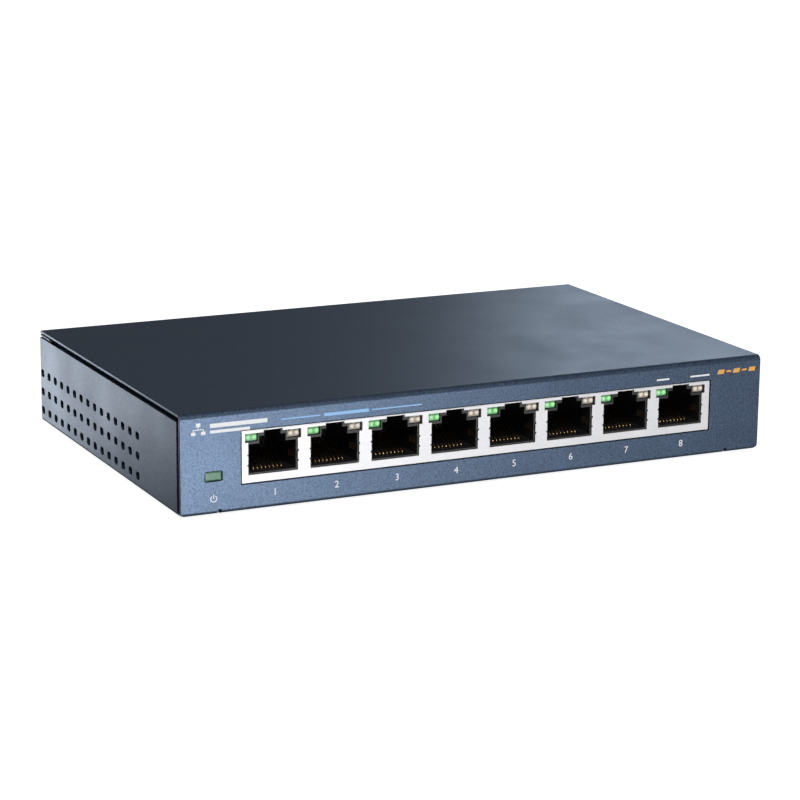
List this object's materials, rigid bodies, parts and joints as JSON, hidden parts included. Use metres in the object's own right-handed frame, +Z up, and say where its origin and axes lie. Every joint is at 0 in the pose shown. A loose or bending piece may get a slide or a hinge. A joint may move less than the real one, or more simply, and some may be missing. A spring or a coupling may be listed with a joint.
{
  "type": "desktop network switch",
  "caption": "Flat folded-steel network switch: row of shielded modular jacks with paired indicator lights in front, vented side walls, power jack and lock slot at the rear.",
  "frame": {"origin": "centre of the footprint at the underside of the rubber feet", "axes": "+X to the right seen from the front, front panel faces -Y, +Z up"},
  "size_m": [0.158, 0.101, 0.0253],
  "materials": {
    "cover_paint": "fine textured metallic paint, satin",
    "tray_paint": "fine textured metallic paint, satin",
    "tinned_steel": "bright tin plate",
    "jack_plastic": "black moulded, matte",
    "gold_contact": "gold plated spring wire",
    "green_led": "tinted clear lens, lit",
    "white_led": "milky lens",
    "power_lens": "tinted translucent light pipe",
    "power_led": "clear",
    "board_laminate": "green solder mask",
    "chip_epoxy": "moulded epoxy",
    "heat_sink_aluminium": "extruded, satin",
    "magnetics_moulding": "moulded",
    "crystal_can": "drawn can",
    "inductor_ferrite": "pressed ferrite",
    "capacitor_sleeve": "shrink sleeve",
    "power_jack_plastic": "black moulded",
    "jack_pin_nickel": "nickel plated",
    "jack_spring_bronze": "spring bronze",
    "board_screw_steel": "zinc plated",
    "cover_screw_steel": "black zinc plated",
    "foot_rubber": "moulded rubber"
  },
  "bodies": {
    "case": {"top_cover": "cover_paint", "base_tray": "tray_paint", "jack_shield": "tinned_steel", "jack_housing": "jack_plastic", "port_1_green_led": "green_led", "port_2_green_led": "green_led", "port_3_green_led": "green_led", "port_4_green_led": "green_led", "port_5_green_led": "green_led", "port_6_green_led": "green_led", "port_7_green_led": "green_led", "port_8_green_led": "green_led", "port_1_white_led": "white_led", "port_2_white_led": "white_led", "port_3_white_led": "white_led", "port_4_white_led": "white_led", "port_5_white_led": "white_led", "port_6_white_led": "white_led", "port_7_white_led": "white_led", "port_8_white_led": "white_led", "power_light_pipe": "power_lens", "power_led": "power_led", "main_board": "board_laminate", "switch_chip": "chip_epoxy", "flash_chip": "chip_epoxy", "voltage_regulator": "chip_epoxy", "heat_sink": "heat_sink_aluminium", "magnetics_1": "magnetics_moulding", "magnetics_2": "magnetics_moulding", "magnetics_3": "magnetics_moulding", "magnetics_4": "magnetics_moulding", "crystal": "crystal_can", "power_inductor": "inductor_ferrite", "bulk_capacitor_1": "capacitor_sleeve", "bulk_capacitor_2": "capacitor_sleeve", "dc_jack_body": "power_jack_plastic", "dc_jack_pin": "jack_pin_nickel", "board_screw_1": "board_screw_steel", "board_screw_2": "board_screw_steel", "board_screw_3": "board_screw_steel", "board_screw_4": "board_screw_steel", "cover_screw_1": "cover_screw_steel", "cover_screw_2": "cover_screw_steel", "foot_front_left": "foot_rubber", "foot_front_right": "foot_rubber", "foot_rear_left": "foot_rubber", "foot_rear_right": "foot_rubber"},
    "port_1_contacts": {"port_1_contacts": "gold_contact"},
    "port_2_contacts": {"port_2_contacts": "gold_contact"},
    "port_3_contacts": {"port_3_contacts": "gold_contact"},
    "port_4_contacts": {"port_4_contacts": "gold_contact"},
    "port_5_contacts": {"port_5_contacts": "gold_contact"},
    "port_6_contacts": {"port_6_contacts": "gold_contact"},
    "port_7_contacts": {"port_7_contacts": "gold_contact"},
    "port_8_contacts": {"port_8_contacts": "gold_contact"},
    "dc_jack_spring": {"dc_jack_spring": "jack_spring_bronze"}
  },
  "joints": [
    {"name": "port_1_contacts_flex", "type": "hinge", "parent": "case", "child": "port_1_contacts", "pos_m": [-0.05556, -0.0464, 0.0094], "axis": [-1, 0, 0], "range_deg": [0, 12], "stiffness_Nm_per_rad": 0.05},
    {"name": "port_2_contacts_flex", "type": "hinge", "parent": "case", "child": "port_2_contacts", "pos_m": [-0.03969, -0.0464, 0.0094], "axis": [-1, 0, 0], "range_deg": [0, 12], "stiffness_Nm_per_rad": 0.05},
    {"name": "port_3_contacts_flex", "type": "hinge", "parent": "case", "child": "port_3_contacts", "pos_m": [-0.02381, -0.0464, 0.0094], "axis": [-1, 0, 0], "range_deg": [0, 12], "stiffness_Nm_per_rad": 0.05},
    {"name": "port_4_contacts_flex", "type": "hinge", "parent": "case", "child": "port_4_contacts", "pos_m": [-0.00794, -0.0464, 0.0094], "axis": [-1, 0, 0], "range_deg": [0, 12], "stiffness_Nm_per_rad": 0.05},
    {"name": "port_5_contacts_flex", "type": "hinge", "parent": "case", "child": "port_5_contacts", "pos_m": [0.00794, -0.0464, 0.0094], "axis": [-1, 0, 0], "range_deg": [0, 12], "stiffness_Nm_per_rad": 0.05},
    {"name": "port_6_contacts_flex", "type": "hinge", "parent": "case", "child": "port_6_contacts", "pos_m": [0.02381, -0.0464, 0.0094], "axis": [-1, 0, 0], "range_deg": [0, 12], "stiffness_Nm_per_rad": 0.05},
    {"name": "port_7_contacts_flex", "type": "hinge", "parent": "case", "child": "port_7_contacts", "pos_m": [0.03969, -0.0464, 0.0094], "axis": [-1, 0, 0], "range_deg": [0, 12], "stiffness_Nm_per_rad": 0.05},
    {"name": "port_8_contacts_flex", "type": "hinge", "parent": "case", "child": "port_8_contacts", "pos_m": [0.05556, -0.0464, 0.0094], "axis": [-1, 0, 0], "range_deg": [0, 12], "stiffness_Nm_per_rad": 0.05},
    {"name": "dc_jack_spring_flex", "type": "hinge", "parent": "case", "child": "dc_jack_spring", "pos_m": [-0.055, 0.0389, 0.0095], "axis": [-1, 0, 0], "range_deg": [0, 5], "stiffness_Nm_per_rad": 0.05}
  ]
}
